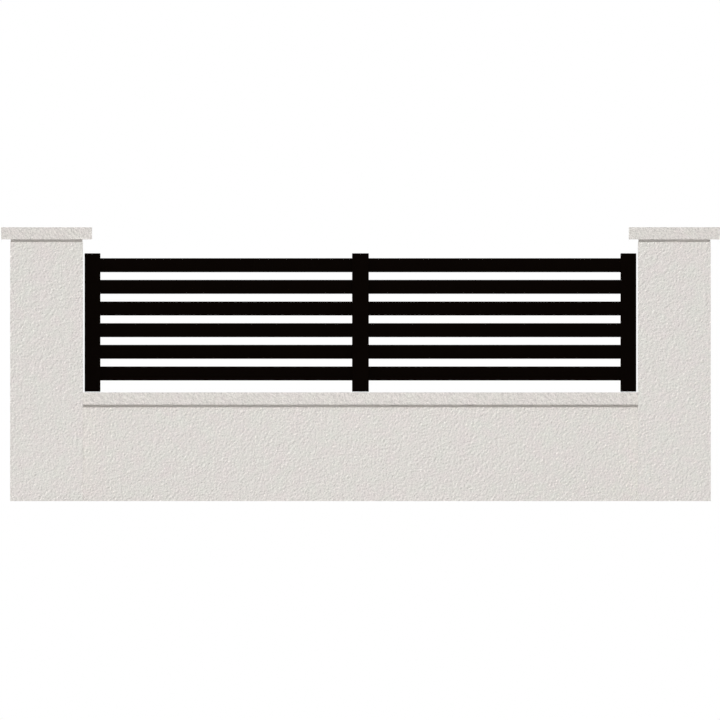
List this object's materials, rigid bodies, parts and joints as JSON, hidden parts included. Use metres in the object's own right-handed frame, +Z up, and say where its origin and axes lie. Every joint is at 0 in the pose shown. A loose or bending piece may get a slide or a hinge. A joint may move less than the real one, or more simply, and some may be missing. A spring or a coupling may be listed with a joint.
{
  "type": "slatted fence on a low wall between pillars",
  "caption": "Slatted metal fence in two bays of flat horizontal slats between posts, on a rendered low wall between two capped masonry pillars.",
  "frame": {"origin": "centre of the object's footprint on the ground, below the middle post", "axes": "+X along the fence to the right as seen from the front, +Y towards the back, +Z up"},
  "size_m": [3.95, 0.5, 1.505],
  "materials": {
    "render": "matte",
    "cast_stone": "matte",
    "mortar": "matte",
    "black_coating": "satin",
    "spacer_coating": "matte",
    "bare_aluminium": "satin"
  },
  "bodies": {
    "root": {"low_wall": "render", "coping_bed": "mortar", "coping": "cast_stone", "left_pillar": "render", "left_cap_bed": "mortar", "left_pillar_cap": "cast_stone", "right_pillar": "render", "right_cap_bed": "mortar", "right_pillar_cap": "cast_stone", "left_post_foot": "bare_aluminium", "left_post": "black_coating", "left_post_spacers": "spacer_coating", "left_post_cap": "black_coating", "middle_post_foot": "bare_aluminium", "middle_post": "black_coating", "middle_post_left_spacers": "spacer_coating", "middle_post_right_spacers": "spacer_coating", "middle_post_cap": "black_coating", "right_post_foot": "bare_aluminium", "right_post": "black_coating", "right_post_spacers": "spacer_coating", "right_post_cap": "black_coating", "left_slat_1": "black_coating", "left_slat_2": "black_coating", "left_slat_3": "black_coating", "left_slat_4": "black_coating", "left_slat_5": "black_coating", "left_slat_6": "black_coating", "right_slat_1": "black_coating", "right_slat_2": "black_coating", "right_slat_3": "black_coating", "right_slat_4": "black_coating", "right_slat_5": "black_coating", "right_slat_6": "black_coating"}
  },
  "joints": []
}
